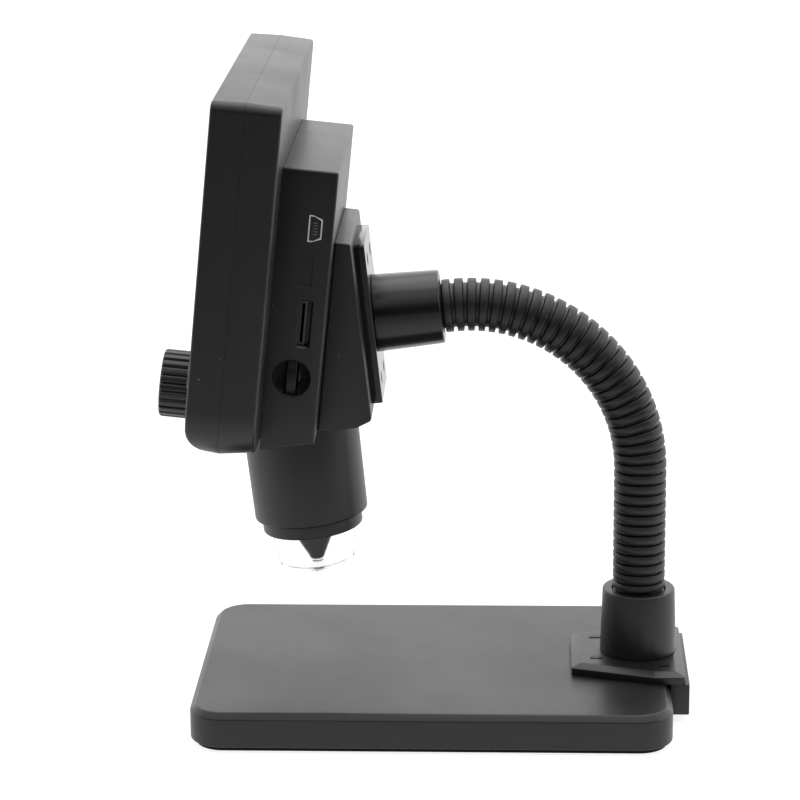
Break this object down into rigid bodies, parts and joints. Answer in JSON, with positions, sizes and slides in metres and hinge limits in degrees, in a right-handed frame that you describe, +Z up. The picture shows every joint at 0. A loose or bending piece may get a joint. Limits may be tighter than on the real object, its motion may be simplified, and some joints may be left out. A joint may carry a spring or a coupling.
{
  "type": "lcd digital microscope",
  "caption": "Desktop microscope: tilted screen head with a lens tube and focus knob, on a ribbed bendable neck over a flat weighted base.",
  "frame": {"origin": "centre of the base pad's underside, on the table", "axes": "+Z up, -Y the screen side, +X the side with the sockets and the dimmer dial"},
  "size_m": [0.123, 0.1565, 0.192],
  "materials": {
    "black_shell": "satin",
    "black_metal": "satin",
    "black_barrel": "satin",
    "black_small": "matte",
    "black_keys": "matte",
    "black_hose": "matte",
    "link_plastic": "matte",
    "pad_rubber": "matte",
    "steel": "brushed",
    "port_steel": "bright",
    "board": "satin",
    "panel": "gloss",
    "cell_wrap": "satin",
    "window": "gloss",
    "lens": "polished",
    "clear": "clear",
    "lamp": "gloss"
  },
  "bodies": {
    "stand": {"base_shell": "black_shell", "base_ballast": "steel", "base_pad": "pad_rubber", "foot_plate": "black_metal", "foot_screws": "steel", "lower_socket": "black_metal", "neck_sleeve_0": "black_hose", "neck_link_0": "link_plastic"},
    "neck_1": {"neck_sleeve_1": "black_hose", "neck_link_1": "link_plastic"},
    "neck_2": {"neck_sleeve_2": "black_hose", "neck_link_2": "link_plastic"},
    "neck_3": {"neck_sleeve_3": "black_hose", "neck_link_3": "link_plastic"},
    "neck_4": {"neck_sleeve_4": "black_hose", "neck_link_4": "link_plastic"},
    "neck_5": {"neck_sleeve_5": "black_hose", "neck_link_5": "link_plastic"},
    "neck_6": {"neck_sleeve_6": "black_hose", "neck_link_6": "link_plastic"},
    "head": {"neck_sleeve_7": "black_hose", "neck_link_7": "link_plastic", "upper_socket": "black_metal", "head_plate": "black_metal", "plate_screws": "steel", "wedge_cover": "black_shell", "mid_housing": "black_shell", "lcd_rear_shell": "black_shell", "lcd_front_shell": "black_shell", "lcd_panel": "panel", "screen_window": "window", "key_board": "board", "battery_cell": "cell_wrap", "main_board": "board", "usb_socket": "port_steel", "card_socket": "port_steel", "dimmer_pot": "panel", "shaft_bearing": "black_small", "lens_barrel": "black_barrel", "barrel_ring": "black_barrel", "led_board": "board", "led_lamps": "lamp", "clear_cup": "clear", "lens_hood": "black_barrel"},
    "focus_drive": {"focus_knob": "black_small", "pinion_shaft": "steel"},
    "lens_unit": {"lens_carriage": "black_small", "focus_rack": "black_small", "sensor_board": "board", "lens_cell": "black_small", "lens_glass": "lens"},
    "dimmer": {"dimmer_dial": "black_small"},
    "key_1": {"key_1": "black_keys"},
    "key_2": {"key_2": "black_keys"},
    "key_3": {"key_3": "black_keys"},
    "key_4": {"key_4": "black_keys"},
    "key_5": {"key_5": "black_keys"},
    "key_6": {"key_6": "black_keys"}
  },
  "joints": [
    {"name": "neck_bend_1", "type": "hinge", "parent": "stand", "child": "neck_1", "pos_m": [0, 0.0611, 0.04428], "axis": [1, 0, 0], "range_deg": [-8, 2.5]},
    {"name": "neck_sway_1", "type": "hinge", "parent": "neck_1", "child": "neck_2", "pos_m": [0, 0.0611, 0.06058], "axis": [0, 1, 0], "range_deg": [-8, 8]},
    {"name": "neck_bend_3", "type": "hinge", "parent": "neck_2", "child": "neck_3", "pos_m": [0, 0.0608, 0.07687], "axis": [1, 0, 0], "range_deg": [-8, 2.5]},
    {"name": "neck_bend_4", "type": "hinge", "parent": "neck_3", "child": "neck_4", "pos_m": [0, 0.05496, 0.09541], "axis": [1, 0, 0], "range_deg": [-8, 3]},
    {"name": "neck_bend_5", "type": "hinge", "parent": "neck_4", "child": "neck_5", "pos_m": [0, 0.0425, 0.11032], "axis": [1, 0, 0], "range_deg": [-8, 3.5]},
    {"name": "neck_sway_2", "type": "hinge", "parent": "neck_5", "child": "neck_6", "pos_m": [0, 0.02838, 0.11832], "axis": [0, 0.3456, 0.9384], "range_deg": [-8, 8]},
    {"name": "neck_bend_7", "type": "hinge", "parent": "neck_6", "child": "head", "pos_m": [0, 0.01244, 0.12139], "axis": [1, 0, 0], "range_deg": [-8, 5]},
    {"name": "focus_turn", "type": "hinge", "parent": "head", "child": "focus_drive", "pos_m": [0, -0.0672, 0.09627], "axis": [0, 0.9945, -0.1045], "range_deg": [-84, 84]},
    {"name": "focus_slide", "type": "slide", "parent": "head", "child": "lens_unit", "axis": [0, 0.1045, -0.9945], "range_m": [-0.00599, 0.00599]},
    {"name": "dimmer_turn", "type": "hinge", "parent": "head", "child": "dimmer", "pos_m": [0.0295, -0.03882, 0.10897], "axis": [0, 0.9945, -0.1045], "range_deg": [-135, 135]},
    {"name": "key_1_press", "type": "slide", "parent": "head", "child": "key_1", "axis": [0, 0.9945, -0.1045], "range_m": [0, 0.0005], "stiffness_N_per_m": 1500, "springref_m": -0.0004},
    {"name": "key_2_press", "type": "slide", "parent": "head", "child": "key_2", "axis": [0, 0.9945, -0.1045], "range_m": [0, 0.0005], "stiffness_N_per_m": 1500, "springref_m": -0.0004},
    {"name": "key_3_press", "type": "slide", "parent": "head", "child": "key_3", "axis": [0, 0.9945, -0.1045], "range_m": [0, 0.0005], "stiffness_N_per_m": 1500, "springref_m": -0.0004},
    {"name": "key_4_press", "type": "slide", "parent": "head", "child": "key_4", "axis": [0, 0.9945, -0.1045], "range_m": [0, 0.0005], "stiffness_N_per_m": 1500, "springref_m": -0.0004},
    {"name": "key_5_press", "type": "slide", "parent": "head", "child": "key_5", "axis": [0, 0.9945, -0.1045], "range_m": [0, 0.0005], "stiffness_N_per_m": 1500, "springref_m": -0.0004},
    {"name": "key_6_press", "type": "slide", "parent": "head", "child": "key_6", "axis": [0, 0.9945, -0.1045], "range_m": [0, 0.0005], "stiffness_N_per_m": 1500, "springref_m": -0.0004}
  ],
  "couplings": [
    {"joint": "focus_turn", "follows": "focus_slide", "rad_per_m": 244.54}
  ]
}
